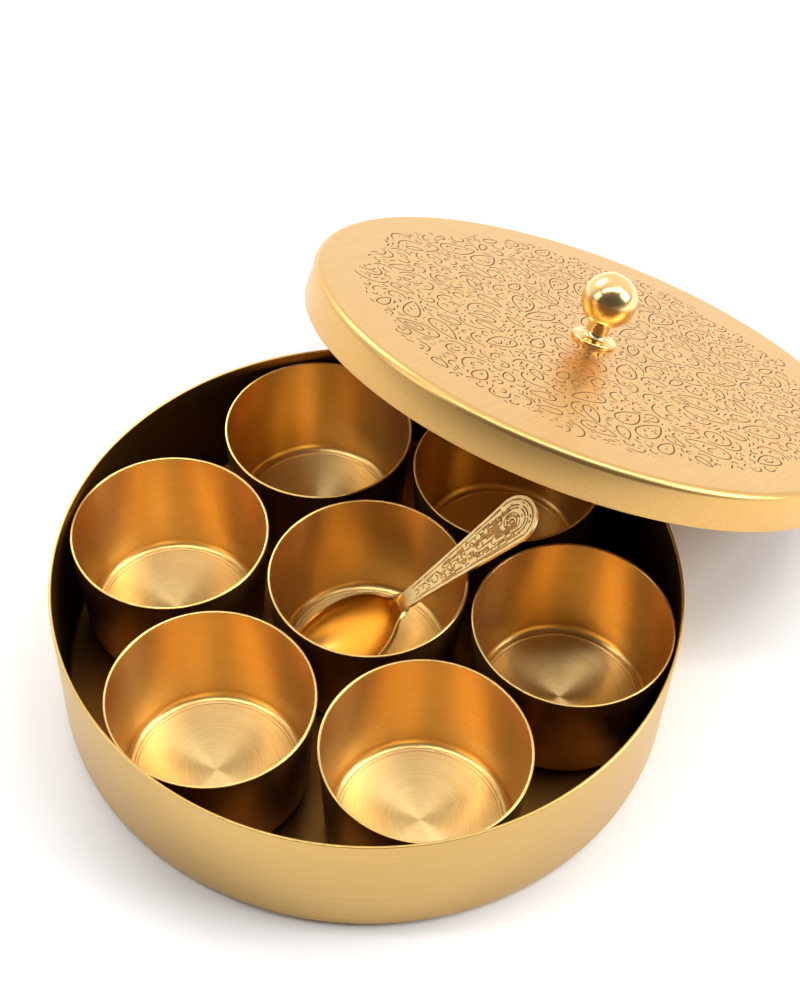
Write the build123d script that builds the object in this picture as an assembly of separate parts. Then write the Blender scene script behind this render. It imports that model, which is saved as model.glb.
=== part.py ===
from build123d import *

import math
import os

# A round brass spice box: a shallow pan, seven loose cups, a small spoon and a domed-edge
# lid with a ball knob. The lid is off and leans over the back of the box, as it does in use.
# Millimetres, +Z up. The origin is the centre of the pan's underside, on the table.

# Pan
PAN_DIAMETER = 210.0
PAN_HEIGHT = 49.0
PAN_SHEET = 1.0
PAN_BASE_RADIUS = 3.0
PAN_RIM_ROUND = 0.35

# Cups
CUP_DIAMETER = 67.2
CUP_HEIGHT = 44.0
CUP_SHEET = 0.9
CUP_FOOT_DIAMETER = 61.6
CUP_FOOT_RADIUS = 3.5
CUP_GAP = 2.6
CUP_RIM_ROUND = 0.3
CUP_RING_START = -13.5
FLOOR_BEAD_DIAMETER = 54.0
FLOOR_BEAD_WIDTH = 1.4
FLOOR_BEAD_RISE = 0.5
RING_CUPS = ["cup_right", "cup_back_right", "cup_back_left", "cup_left", "cup_front_left", "cup_front"]

# Lid
LID_CLEARANCE = 0.4
LID_SHEET = 1.0
LID_DEPTH = 14.0
LID_SHOULDER_RADIUS = 2.6
LID_EDGE_ROUND = 0.3
LID_REACH = 123.5
LID_BEARING = 52.3
LID_OVER_RIM = 6.6
TABLE_GAP = 0.3

# Knob and its screw
KNOB_BALL_DIAMETER = 20.4
KNOB_BALL_RISE = 16.5
KNOB_NECK_DIAMETER = 8.4
KNOB_NECK_RISE = 4.6
KNOB_FLANGE_DIAMETER = 17.0
KNOB_FLANGE_THICKNESS = 1.5
SCREW_DIAMETER = 4.0
SCREW_HEAD_DIAMETER = 8.0
SCREW_HEAD_HEIGHT = 2.4
SCREW_GRIP = 9.0
SCREW_SLOT_WIDTH = 1.0
SCREW_SLOT_DEPTH = 1.0
SCREW_CLEARANCE = 0.05
WASHER_DIAMETER = 11.0
WASHER_THICKNESS = 0.8
HOLE_CLEARANCE = 0.3

# Spoon
SPOON_SHEET = 1.2
BOWL_LENGTH = 45.4
BOWL_WIDTH = 32.0
BOWL_DEPTH = 10.5
BOWL_TILT = 30.5
HANDLE_LENGTH = 59.4
HANDLE_END_WIDTH = 17.4
HANDLE_NECK_WIDTH = 5.8
SHOULDER_WIDTH = 13.0
SHOULDER_LENGTH = 7.0
HANDLE_THICKNESS = 1.8
HANDLE_BORDER = 1.2
HANDLE_RECESS = 0.3
SPOON_SEAT_GAP = 0.3
SPOON_BEARING = 17.6
SPOON_BOWL_X = -9.7
SPOON_OFFSET_Y = -3.2

pan_radius = PAN_DIAMETER / 2
cup_radius = CUP_DIAMETER / 2
cup_pitch = CUP_DIAMETER + CUP_GAP
cup_seat_z = PAN_SHEET
cup_floor_z = cup_seat_z + CUP_SHEET
cup_rim_z = cup_seat_z + CUP_HEIGHT
lid_inner_radius = pan_radius + LID_CLEARANCE
lid_radius = lid_inner_radius + LID_SHEET


def turned(profile):
    """A solid of revolution about Z from a face drawn in the XZ plane."""
    return revolve(profile, axis=Axis.Z)


def open_vessel(top_radius, foot_radius, height, sheet, corner, rim_round):
    """A thin round vessel that stands on z = 0: wall, rounded foot corner, flat floor and soft rim."""
    lean = math.atan2(top_radius - foot_radius, height)
    step = sheet / math.cos(lean)
    outer = Polyline((0, 0), (foot_radius, 0), (top_radius, height), (0, height), close=True)
    inner_foot = foot_radius + sheet * math.tan(lean) - step
    inner = Polyline((0, sheet), (inner_foot, sheet), (top_radius - step, height), (0, height), close=True)
    outer_face = make_face(Plane.XZ * outer)
    outer_face = fillet(outer_face.vertices().sort_by(Axis.X)[-2:].sort_by(Axis.Z)[:1], corner)
    inner_face = make_face(Plane.XZ * inner)
    inner_face = fillet(
        inner_face.vertices().sort_by(Axis.X)[-2:].sort_by(Axis.Z)[:1], max(corner - sheet, 0.2)
    )
    section = outer_face - inner_face
    rim = section.vertices().group_by(Axis.Z)[-1]
    return turned(fillet(rim, min(rim_round, 0.45 * sheet)))


def make_pan():
    return open_vessel(pan_radius, pan_radius, PAN_HEIGHT, PAN_SHEET, PAN_BASE_RADIUS, PAN_RIM_ROUND)


def make_cup():
    """A drawn cup, drawn in a little towards its foot, with a rolled bead round its floor."""
    cup = open_vessel(
        cup_radius, CUP_FOOT_DIAMETER / 2, CUP_HEIGHT, CUP_SHEET, CUP_FOOT_RADIUS, CUP_RIM_ROUND
    )
    centre = FLOOR_BEAD_DIAMETER / 2
    half = FLOOR_BEAD_WIDTH / 2
    base = CUP_SHEET / 2
    crown = CUP_SHEET + FLOOR_BEAD_RISE
    outline = Line((centre - half, base), (centre + half, base))
    outline += Line((centre + half, base), (centre + half, CUP_SHEET))
    outline += ThreePointArc((centre + half, CUP_SHEET), (centre, crown), (centre - half, CUP_SHEET))
    outline += Line((centre - half, CUP_SHEET), (centre - half, base))
    return cup + turned(make_face(Plane.XZ * outline))


def ring_places():
    """Where the six outer cups stand round the middle one."""
    step = 360 / len(RING_CUPS)
    for index, name in enumerate(RING_CUPS):
        angle = math.radians(CUP_RING_START + step * index)
        yield name, Pos(cup_pitch * math.cos(angle), cup_pitch * math.sin(angle), cup_seat_z)


def lean_angle():
    """The lid's tilt: its far edge is on the table and its edge plane clears the far rim."""
    low, high = 0.02, 1.2
    for _ in range(60):
        tilt = (low + high) / 2
        run = LID_REACH + lid_radius * math.cos(tilt) - pan_radius
        if run * math.tan(tilt) > PAN_HEIGHT + LID_OVER_RIM:
            high = tilt
        else:
            low = tilt
    return low


def lid_place():
    tilt = lean_angle()
    bearing = math.radians(LID_BEARING)
    x = LID_REACH * math.cos(bearing)
    y = LID_REACH * math.sin(bearing)
    z = lid_radius * math.sin(tilt) + TABLE_GAP
    return Pos(x, y, z) * Rot(0, 0, LID_BEARING) * Rot(0, math.degrees(tilt), 0)


def make_lid():
    """The pressed cover: flat top, rounded shoulder and straight skirt, holed for the knob's screw."""
    shell = open_vessel(
        lid_radius, lid_radius, LID_DEPTH, LID_SHEET, LID_SHOULDER_RADIUS, LID_EDGE_ROUND
    )
    cover = Pos(0, 0, LID_DEPTH) * Rot(180, 0, 0) * shell
    hole = Cylinder(SCREW_DIAMETER / 2 + HOLE_CLEARANCE, 3 * LID_SHEET)
    return cover - Pos(0, 0, LID_DEPTH) * hole


def make_knob():
    """A turned knob: flange, waisted neck and ball, with a blind hole for its screw."""
    ball_radius = KNOB_BALL_DIAMETER / 2
    neck = KNOB_NECK_DIAMETER / 2
    flange = KNOB_FLANGE_DIAMETER / 2
    foot_z = LID_DEPTH
    lip_z = foot_z + KNOB_FLANGE_THICKNESS
    neck_z = foot_z + KNOB_NECK_RISE
    ball_z = foot_z + KNOB_BALL_RISE
    stem_top_z = ball_z - math.sqrt(ball_radius**2 - neck**2) + 0.2
    outline = Line((0, foot_z), (flange, foot_z))
    outline += ThreePointArc(
        (flange, foot_z), (flange + KNOB_FLANGE_THICKNESS / 4, (foot_z + lip_z) / 2), (flange, lip_z)
    )
    outline += Spline((flange, lip_z), (neck, neck_z), tangents=((-1, 0.15), (0, 1)))
    outline += Line((neck, neck_z), (neck, stem_top_z))
    outline += Line((neck, stem_top_z), (0, stem_top_z))
    outline += Line((0, stem_top_z), (0, foot_z))
    stem = turned(make_face(Plane.XZ * outline))
    knob = stem + Pos(0, 0, ball_z) * Sphere(ball_radius)
    bore_depth = SCREW_GRIP - LID_SHEET - WASHER_THICKNESS + SCREW_DIAMETER / 4
    bore = Cylinder(
        SCREW_DIAMETER / 2 + SCREW_CLEARANCE, bore_depth, align=(Align.CENTER, Align.CENTER, Align.MIN)
    )
    return knob - Pos(0, 0, foot_z) * bore


def make_washer():
    ring = Cylinder(WASHER_DIAMETER / 2, WASHER_THICKNESS, align=(Align.CENTER, Align.CENTER, Align.MAX))
    hole = Cylinder(SCREW_DIAMETER / 2 + HOLE_CLEARANCE, 3 * WASHER_THICKNESS)
    return Pos(0, 0, LID_DEPTH - LID_SHEET) * (ring - hole)


def make_screw():
    """A slotted pan-head screw that comes up through the washer and the lid into the knob."""
    seat_z = LID_DEPTH - LID_SHEET - WASHER_THICKNESS
    head = Cylinder(
        SCREW_HEAD_DIAMETER / 2, SCREW_HEAD_HEIGHT, align=(Align.CENTER, Align.CENTER, Align.MAX)
    )
    head = fillet(head.edges().group_by(Axis.Z)[0], SCREW_HEAD_HEIGHT / 3)
    slot = Pos(0, 0, -SCREW_HEAD_HEIGHT) * Box(
        SCREW_HEAD_DIAMETER + 1, SCREW_SLOT_WIDTH, 2 * SCREW_SLOT_DEPTH
    )
    shank = Cylinder(SCREW_DIAMETER / 2, SCREW_GRIP, align=(Align.CENTER, Align.CENTER, Align.MIN))
    return Pos(0, 0, seat_z) * (head - slot + shank)


def bowl_form(inset):
    """The bowl's oval form, its mouth plane at z = 0, made smaller all round by the inset."""
    size = (BOWL_LENGTH / 2, BOWL_WIDTH / 2, BOWL_DEPTH)
    return scale(Sphere(1), by=tuple(value - inset for value in size))


def bowl_centre():
    """The bowl's mouth centre in the spoon's own plane, with the bowl's back on the cup's floor."""
    tilt = math.radians(BOWL_TILT)
    drop = math.hypot(BOWL_LENGTH / 2 * math.sin(tilt), BOWL_DEPTH * math.cos(tilt))
    return SPOON_BOWL_X, cup_floor_z + SPOON_SEAT_GAP + drop


def handle_line():
    """Where the straight handle starts, and its slope: its back just clears the cup's rim."""
    tilt = math.radians(BOWL_TILT)
    x, z = bowl_centre()
    reach = BOWL_LENGTH / 2 + SPOON_SHEET
    start = (x + reach * math.cos(tilt), z + reach * math.sin(tilt))
    rest_y = abs(SPOON_OFFSET_Y) + (HANDLE_NECK_WIDTH + HANDLE_END_WIDTH) / 4
    rest_x = math.sqrt((cup_radius - CUP_SHEET) ** 2 - rest_y**2)
    slope = math.atan2(cup_rim_z - start[1], rest_x - start[0])
    for _ in range(20):
        lift = (HANDLE_THICKNESS / 2 + SPOON_SEAT_GAP) / math.cos(slope)
        slope = math.atan2(cup_rim_z + lift - start[1], rest_x - start[0])
    return start, slope


def make_handle():
    """The flat handle, drawn along +X from the neck: it widens to a round end with a raised border."""
    end = HANDLE_END_WIDTH / 2
    neck = HANDLE_NECK_WIDTH / 2
    centre = HANDLE_LENGTH - end

    def outline(inset, start):
        taper = math.atan2(end - neck, centre)
        radius = end - inset
        touch = (centre - radius * math.sin(taper), radius * math.cos(taper))
        side = neck - inset + (touch[1] - (neck - inset)) * start / touch[0]
        path = Line((start, -side), (touch[0], -touch[1]))
        path += ThreePointArc((touch[0], -touch[1]), (centre + radius, 0), touch)
        path += Line(touch, (start, side))
        path += Line((start, side), (start, -side))
        return make_face(path)

    plate = extrude(outline(0, 0), HANDLE_THICKNESS / 2, both=True)
    panel = extrude(outline(HANDLE_BORDER, 8 * HANDLE_BORDER), HANDLE_RECESS)
    return plate - Pos(0, 0, HANDLE_THICKNESS / 2 - HANDLE_RECESS) * panel


def make_neck(start, slope):
    """The bent neck: one loft that narrows from the bowl's shoulder round the bend to the handle."""
    tilt = math.radians(BOWL_TILT)
    sections = []
    for share in (0.0, 0.35, 0.7, 1.0):
        angle = tilt + (slope - tilt) * share
        run = -SHOULDER_LENGTH * (1 - share)
        drop = SPOON_SHEET / 2 * (1 - share)
        x = start[0] + run * math.cos(tilt) + drop * math.sin(tilt)
        z = start[1] + run * math.sin(tilt) - drop * math.cos(tilt)
        width = HANDLE_NECK_WIDTH + (SHOULDER_WIDTH - HANDLE_NECK_WIDTH) * (1 - share) ** 1.6
        plane = Plane(
            origin=(x, 0, z), x_dir=(0, 1, 0), z_dir=(math.cos(angle), 0, math.sin(angle))
        )
        sections.append(plane * Rectangle(width, HANDLE_THICKNESS))
    return loft(sections, ruled=True)


def make_spoon():
    """Bowl, neck and handle in one piece, with the inside of the bowl cut clear of the neck."""
    x, z = bowl_centre()
    start, slope = handle_line()
    place = Pos(x, 0, z) * Rot(0, -BOWL_TILT, 0)
    room = 2 * BOWL_LENGTH
    lower = Box(room, room, room, align=(Align.CENTER, Align.CENTER, Align.MAX))
    bowl = place * (bowl_form(0) & lower)
    handle = Pos(start[0], 0, start[1]) * Rot(0, -math.degrees(slope), 0) * make_handle()
    spoon = bowl + make_neck(start, slope) + handle - place * bowl_form(SPOON_SHEET)
    return Rot(0, 0, SPOON_BEARING) * Pos(0, SPOON_OFFSET_Y, 0) * spoon


def write(name, shape):
    export_step(shape, os.path.join("parts", name + ".step"))


os.makedirs("parts", exist_ok=True)

write("box_pan", make_pan())
cup = make_cup()
write("cup_centre", Pos(0, 0, cup_seat_z) * cup)
for cup_name, place in ring_places():
    write(cup_name, place * cup)
write("spoon", make_spoon())
place = lid_place()
write("lid_cover", place * make_lid())
write("lid_knob", place * make_knob())
write("knob_washer", place * make_washer())
write("knob_screw", place * make_screw())
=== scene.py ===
import math
import random

import bpy
from bpy.props import FloatProperty, FloatVectorProperty, IntProperty, PointerProperty
from mathutils import Matrix, Vector


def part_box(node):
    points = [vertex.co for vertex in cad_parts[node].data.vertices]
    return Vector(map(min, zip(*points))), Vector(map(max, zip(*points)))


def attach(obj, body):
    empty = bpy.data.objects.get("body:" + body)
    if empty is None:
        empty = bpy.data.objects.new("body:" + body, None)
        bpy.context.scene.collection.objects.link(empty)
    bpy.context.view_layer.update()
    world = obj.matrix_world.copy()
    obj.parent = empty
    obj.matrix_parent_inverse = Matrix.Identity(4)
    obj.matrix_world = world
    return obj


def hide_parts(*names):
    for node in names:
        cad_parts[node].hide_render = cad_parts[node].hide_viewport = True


bl_info = {
    "name": "Brass Spice Box",
    "version": (1, 0, 0),
    "blender": (4, 5, 0),
    "location": "3D View > Sidebar > Spice Box",
    "description": "Builds the pan, cups, lid, knob and spoon of a round brass spice box",
    "category": "Object",
}

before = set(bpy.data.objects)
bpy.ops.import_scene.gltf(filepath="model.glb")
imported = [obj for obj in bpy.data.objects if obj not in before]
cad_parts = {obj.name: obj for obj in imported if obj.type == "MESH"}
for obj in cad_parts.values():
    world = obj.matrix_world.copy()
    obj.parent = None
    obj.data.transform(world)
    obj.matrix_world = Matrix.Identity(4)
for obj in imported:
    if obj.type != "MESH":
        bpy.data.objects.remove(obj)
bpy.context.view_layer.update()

MM = 0.001
FULL_TURN = 2 * math.pi
BRUSH_LINES = 2600.0  # brushing lines per metre, in the noise's own measure
QUARTER = 0.25  # turns the anisotropic highlight across the brushing
RIM_ROUND = 0.3 * MM
TABLE_RADIUS = 4.0
# how many sides a turned piece has round its axis, and a sheet's arc in its whole circle
WIDE_SIDES = 256
CUP_SIDES = 160
KNOB_SIDES = 96
SHEET_SIDES = 56
RING_CUPS = ["cup_right", "cup_back_right", "cup_back_left", "cup_left", "cup_front_left", "cup_front"]

pan_low, pan_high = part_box("box_pan")
cup_low, cup_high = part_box("cup_centre")


def length(name, description, default):
    """A size in metres, with its default given in millimetres."""
    return FloatProperty(
        name=name, description=description, default=default * MM, unit="LENGTH", precision=5
    )


def colour(name, description, default):
    """A colour of a finish, as linear red, green and blue."""
    return FloatVectorProperty(
        name=name, description=description, default=default, subtype="COLOR", size=3, min=0, max=1
    )


class SpiceBoxSizes(bpy.types.PropertyGroup):
    """Sizes of the pieces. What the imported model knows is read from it."""

    pan_radius: FloatProperty(
        name="Pan radius", description="Outside radius of the pan", default=pan_high.x, unit="LENGTH"
    )
    pan_height: FloatProperty(
        name="Pan height", description="Height of the pan's rim", default=pan_high.z, unit="LENGTH"
    )
    pan_sheet: length("Pan sheet", "Thickness of the pan's sheet", 1.0)
    pan_corner: length("Pan corner", "Outside radius between base and wall", 3.0)
    cup_radius: length("Cup radius", "Outside radius at the cup's rim", 33.6)
    cup_foot_radius: length("Cup foot radius", "Outside radius at the cup's foot", 30.8)
    cup_height: FloatProperty(
        name="Cup height", description="Height of a cup", default=cup_high.z - cup_low.z, unit="LENGTH"
    )
    cup_sheet: length("Cup sheet", "Thickness of a cup's sheet", 0.9)
    cup_corner: length("Cup corner", "Outside radius of the cup's foot corner", 3.5)
    bead_radius: length("Bead radius", "Radius of the bead round a cup's floor", 27.0)
    bead_width: length("Bead width", "Width of that bead", 1.4)
    bead_rise: length("Bead rise", "How far that bead stands up", 0.5)
    cup_gap: length("Cup gap", "Gap between neighbouring cups", 2.6)
    lid_clearance: length("Lid clearance", "Gap between the pan's wall and the skirt", 0.4)
    lid_sheet: length("Lid sheet", "Thickness of the lid's sheet", 1.0)
    lid_depth: length("Lid depth", "Height of the lid with its skirt", 14.0)
    lid_shoulder: length("Lid shoulder", "Outside radius between the lid's top and skirt", 2.6)
    lid_reach: length("Lid reach", "How far the leaning lid's centre is from the pan's", 123.5)
    lid_over_rim: length("Lid over rim", "Height of the skirt's edge plane over the far rim", 6.6)
    table_gap: length("Table gap", "Gap under the lid's low edge", 0.3)
    ball_radius: length("Ball radius", "Radius of the knob's ball", 10.2)
    ball_rise: length("Ball rise", "Height of the ball's centre over the lid", 16.5)
    neck_radius: length("Neck radius", "Radius of the knob's neck", 4.2)
    neck_rise: length("Neck rise", "Height where the neck is thinnest", 4.6)
    flange_radius: length("Flange radius", "Radius of the knob's flange", 8.5)
    flange_thickness: length("Flange thickness", "Thickness of the knob's flange", 1.5)
    bowl_length: length("Bowl length", "Length of the spoon's bowl", 45.4)
    bowl_width: length("Bowl width", "Width of the spoon's bowl", 32.0)
    bowl_depth: length("Bowl depth", "Depth of the spoon's bowl, outside", 10.5)
    spoon_sheet: length("Spoon sheet", "Thickness of the spoon", 1.2)
    handle_length: length("Handle length", "Length of the spoon's handle", 59.4)
    handle_end: length("Handle end", "Width of the handle's round end", 17.4)
    handle_neck: length("Handle neck", "Width of the handle at its neck", 5.8)
    handle_rise: length("Handle rise", "Height of the handle's face over its middle plane", 0.9)
    handle_border: length("Handle border", "Width of the plain border round the handle", 1.3)
    spoon_gap: length("Spoon gap", "Gap under the spoon where it rests", 0.3)
    bowl_place: length("Bowl place", "Where the bowl's middle is along the spoon's bearing", -9.7)
    spoon_offset: length("Spoon offset", "How far the spoon lies off the cup's middle", -3.2)
    field_radius: length("Engraved radius", "Radius of the engraved field on the lid", 90.0)
    stroke_width: length("Stroke width", "Width of an engraved line on the lid", 0.44)
    chase_width: length("Chased width", "Width of a chased line on the spoon's handle", 0.42)
    cup_ring_start: FloatProperty(
        name="Cup ring start",
        description="Bearing of the right-hand cup from the middle one",
        default=math.radians(-13.5),
        subtype="ANGLE",
    )
    bowl_tilt: FloatProperty(
        name="Bowl tilt", description="Tilt of the bowl's mouth", default=math.radians(30.5), subtype="ANGLE"
    )
    spoon_bearing: FloatProperty(
        name="Spoon bearing",
        description="Direction in which the spoon's handle points",
        default=math.radians(17.6),
        subtype="ANGLE",
    )
    lid_bearing: FloatProperty(
        name="Lid bearing",
        description="Direction in which the lid leans away",
        default=math.radians(52.3),
        subtype="ANGLE",
    )
    seed: IntProperty(
        name="Pattern seed", description="Picks the layout of the engraved scrolls", default=11
    )


class SpiceBoxColours(bpy.types.PropertyGroup):
    """Colours of the finishes."""

    brass: colour("Brass", "Clean satin brass", (0.81, 0.53, 0.19))
    brass_deep: colour("Brass in the grain", "Brass at the bottom of the brushing", (0.74, 0.46, 0.14))
    # painted shade: the pan's outer wall is brass darkened to stand for the shadowed table it reflects
    pan_brass: colour("Pan outside", "Brass of the pan's outer wall", (0.60, 0.385, 0.125))
    # painted shade: the near-black brown inside the pan stands for the shade deep between the cups
    pan_inside_shade: colour("Pan inside", "Unpolished, darkened brass inside the pan", (0.26, 0.13, 0.03))
    # painted light: paler brass that stands for the bright highlights on the cups' floors and on the spoon's
    # handle
    painted_light_brass: colour("Cup floors", "Paler turned brass of the cups' floors", (0.90, 0.66, 0.30))
    lid_brass: colour("Lid brass", "Satin brass of the lid", (0.68, 0.41, 0.14))
    lid_deep: colour("Lid brass in the grain", "The lid at the bottom of its brushing", (0.62, 0.36, 0.115))
    # painted shade: the bowl is brass darkened to stand for the shade in its hollow
    bowl_shaded_brass: colour("Spoon bowl", "Deeper brass of the spoon's bowl", (0.52, 0.29, 0.07))
    # painted shade: the dark brown outside the cups stands for the shade in the gaps between them
    cup_outside_shade: colour("Cup outside", "Unpolished, darkened brass outside the cups", (0.36, 0.18, 0.05))
    polish: colour("Polished brass", "Brass of the knob", (0.86, 0.59, 0.25))
    patina: colour("Patina", "Dark brown in the lid's engraved lines", (0.085, 0.035, 0.010))
    chased: colour("Chased brown", "Brown in the spoon's chased lines", (0.34, 0.18, 0.05))
    table: colour("Table", "Pale table", (0.94, 0.94, 0.94))


# Outlines


def on_circle(centre, radius, angle):
    """The point of a circle at an angle."""
    return centre[0] + radius * math.cos(angle), centre[1] + radius * math.sin(angle)


def beside(start, angle, along, aside):
    """The point that lies some way along a direction from a start, and some way to its left."""
    x, y = math.cos(angle), math.sin(angle)
    return start[0] + x * along - y * aside, start[1] + y * along + x * aside


def rounded(corners, steps=5):
    """Points of an outline of (radius, height, fillet) corners, with each fillet as an arc."""
    points = []
    for index, (x, z, fillet) in enumerate(corners):
        here = Vector((x, z))
        if fillet <= 0 or index in (0, len(corners) - 1):
            points.append((x, z))
            continue
        before = (Vector(corners[index - 1][:2]) - here).normalized()
        after = (Vector(corners[index + 1][:2]) - here).normalized()
        half = before.angle(after) / 2
        centre = here + (before + after).normalized() * (fillet / math.sin(half))
        start = here + before * (fillet / math.tan(half)) - centre
        end = here + after * (fillet / math.tan(half)) - centre
        first = math.atan2(start.y, start.x)
        turn = (math.atan2(end.y, end.x) - first + math.pi) % FULL_TURN - math.pi
        for step in range(steps + 1):
            angle = first + turn * step / steps
            points.append(on_circle(centre, fillet, angle))
    return points


def lathe(name, outline, sides):
    """A closed turned piece: rings are extruded from a filled circle along the outline, then shut."""
    bpy.ops.object.select_all(action="DESELECT")
    radius, height = outline[0]
    bpy.ops.mesh.primitive_circle_add(
        vertices=sides, radius=radius, fill_type="TRIFAN", location=(0, 0, height)
    )
    piece = bpy.context.object
    piece.name = name
    piece.data.name = name
    bpy.ops.object.mode_set(mode="EDIT")
    bpy.ops.mesh.select_all(action="SELECT")
    bpy.ops.mesh.region_to_loop()
    for next_radius, next_height in outline[1:]:
        bpy.ops.mesh.extrude_region_move(
            TRANSFORM_OT_translate={"value": (0, 0, next_height - height)}
        )
        share = next_radius / radius
        bpy.ops.transform.resize(value=(share, share, 1), center_override=(0, 0, next_height))
        radius, height = next_radius, next_height
    bpy.ops.mesh.extrude_region_move()
    bpy.ops.mesh.merge(type="CENTER")
    bpy.ops.mesh.select_all(action="SELECT")
    bpy.ops.mesh.normals_make_consistent(inside=False)
    bpy.ops.object.mode_set(mode="OBJECT")
    bpy.ops.object.transform_apply(location=True, rotation=True, scale=True)
    return piece


def settle(piece, place, angle=30):
    """Puts a finished piece in its place, in its mesh, and smooths its faces."""
    bpy.ops.object.select_all(action="DESELECT")
    bpy.context.view_layer.objects.active = piece
    piece.select_set(True)
    piece.matrix_world = place
    bpy.ops.object.transform_apply(location=True, rotation=True, scale=True)
    bpy.ops.object.shade_smooth_by_angle(angle=math.radians(angle))
    return piece


def vessel_outline(top, foot, height, sheet, corner, rim, floor_points=()):
    """A thin open vessel from the middle of its underside round its wall to the middle of its floor."""
    lean = math.atan2(top - foot, height)
    step = sheet / math.cos(lean)
    inner_foot = foot + sheet * math.tan(lean) - step
    middle = foot / 4
    corners = [
        (middle, 0, 0),
        (foot, 0, corner),
        (top, height, rim),
        (top - step, height, rim),
        (inner_foot, sheet, max(corner - sheet, 0.2 * MM)),
        (middle, sheet, 0),
    ]
    points = rounded(corners)
    return points[:-1] + list(floor_points) + points[-1:]


def lid_radius(sizes):
    """Outside radius of the lid's skirt."""
    return sizes.pan_radius + sizes.lid_clearance + sizes.lid_sheet


def bead_points(centre, width, rise, floor):
    """A low round bead on a floor, from its outer side to its inner side."""
    count = 6
    angles = [math.pi * step / count for step in range(count + 1)]
    return [(centre + width / 2 * math.cos(angle), floor + rise * math.sin(angle)) for angle in angles]


def lean_angle(sizes):
    """The lid's tilt: its far edge is on the table and its edge plane clears the far rim."""
    low, high = 0.02, 1.2
    for _ in range(60):
        tilt = (low + high) / 2
        run = sizes.lid_reach + lid_radius(sizes) * math.cos(tilt) - sizes.pan_radius
        if run * math.tan(tilt) > sizes.pan_height + sizes.lid_over_rim:
            high = tilt
        else:
            low = tilt
    return low


def lid_place(sizes):
    """Where the leaning lid's edge plane lies: its middle, turned and tilted."""
    tilt = lean_angle(sizes)
    spot = Vector(
        (
            sizes.lid_reach * math.cos(sizes.lid_bearing),
            sizes.lid_reach * math.sin(sizes.lid_bearing),
            lid_radius(sizes) * math.sin(tilt) + sizes.table_gap,
        )
    )
    turn = Matrix.Rotation(sizes.lid_bearing, 4, "Z") @ Matrix.Rotation(tilt, 4, "Y")
    return Matrix.Translation(spot) @ turn


def face_outward():
    """Turns the faces of the active piece outwards."""
    bpy.ops.object.mode_set(mode="EDIT")
    bpy.ops.mesh.select_all(action="SELECT")
    bpy.ops.mesh.normals_make_consistent(inside=False)
    bpy.ops.object.mode_set(mode="OBJECT")


def pick_points(piece, wanted):
    """Goes into edit mode with just the wanted points selected."""
    bpy.ops.object.mode_set(mode="EDIT")
    bpy.ops.mesh.select_mode(type="VERT")
    bpy.ops.mesh.select_all(action="DESELECT")
    bpy.ops.object.mode_set(mode="OBJECT")
    for vertex in piece.data.vertices:
        vertex.select = wanted(vertex.co)
    bpy.ops.object.mode_set(mode="EDIT")


def sheet_strip(name, stations):
    """A pressed sheet: a lying arc is extruded along X through stations of (x, z, half width, depth)."""
    bpy.ops.object.select_all(action="DESELECT")
    bpy.ops.mesh.primitive_circle_add(
        vertices=SHEET_SIDES,
        radius=1,
        fill_type="NOTHING",
        location=(0, 0, 0),
        rotation=(0, math.pi / 2, 0),
    )
    piece = bpy.context.object
    piece.name = piece.data.name = name
    bpy.ops.object.transform_apply(location=True, rotation=True, scale=True)
    pick_points(piece, lambda point: point.z > 0.001)
    bpy.ops.mesh.delete(type="VERT")
    bpy.ops.mesh.select_all(action="SELECT")
    x, z, wide, deep = stations[0]
    bpy.ops.transform.resize(value=(1, wide, deep), center_override=(0, 0, 0))
    bpy.ops.transform.translate(value=(x, 0, z))
    for next_x, next_z, next_wide, next_deep in stations[1:]:
        bpy.ops.mesh.extrude_region_move(TRANSFORM_OT_translate={"value": (next_x - x, 0, next_z - z)})
        bpy.ops.transform.resize(
            value=(1, next_wide / wide, next_deep / deep), center_override=(next_x, 0, next_z)
        )
        x, z, wide, deep = next_x, next_z, next_wide, next_deep
    bpy.ops.object.mode_set(mode="OBJECT")
    for end_x in (stations[0][0], stations[-1][0]):
        pick_points(piece, lambda point: abs(point.x - end_x) < 0.001 * MM)
        bpy.ops.mesh.merge(type="CENTER")
        bpy.ops.object.mode_set(mode="OBJECT")
    return piece


def spoon_lines(sizes):
    """The bowl's middle, the handle's start and the two slopes, in the spoon's own plane."""
    tilt = sizes.bowl_tilt
    drop = math.hypot(sizes.bowl_length / 2 * math.sin(tilt), sizes.bowl_depth * math.cos(tilt))
    floor = sizes.pan_sheet + sizes.cup_sheet
    middle = Vector((sizes.bowl_place, floor + sizes.spoon_gap + drop))
    reach = sizes.bowl_length / 2 + sizes.spoon_sheet
    start = middle + reach * Vector((math.cos(tilt), math.sin(tilt)))
    rim = sizes.pan_sheet + sizes.cup_height
    rest_y = abs(sizes.spoon_offset) + (sizes.handle_neck + sizes.handle_end) / 4
    rest_x = math.sqrt((sizes.cup_radius - sizes.cup_sheet) ** 2 - rest_y**2)
    slope = math.atan2(rim - start.y, rest_x - start.x)
    for _ in range(20):
        lift = (sizes.handle_rise + sizes.spoon_gap) / math.cos(slope)
        slope = math.atan2(rim + lift - start.y, rest_x - start.x)
    return middle, start, slope


def handle_half_width(sizes, along):
    """Half the handle's width at a distance from its neck: it widens, then ends round."""
    end, neck = sizes.handle_end / 2, sizes.handle_neck / 2
    centre = sizes.handle_length - end
    if along < centre:
        share = max(along, 0) / centre
        return neck + (end - neck) * share**1.15
    return math.sqrt(max(end**2 - (along - centre) ** 2, 0))


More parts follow.
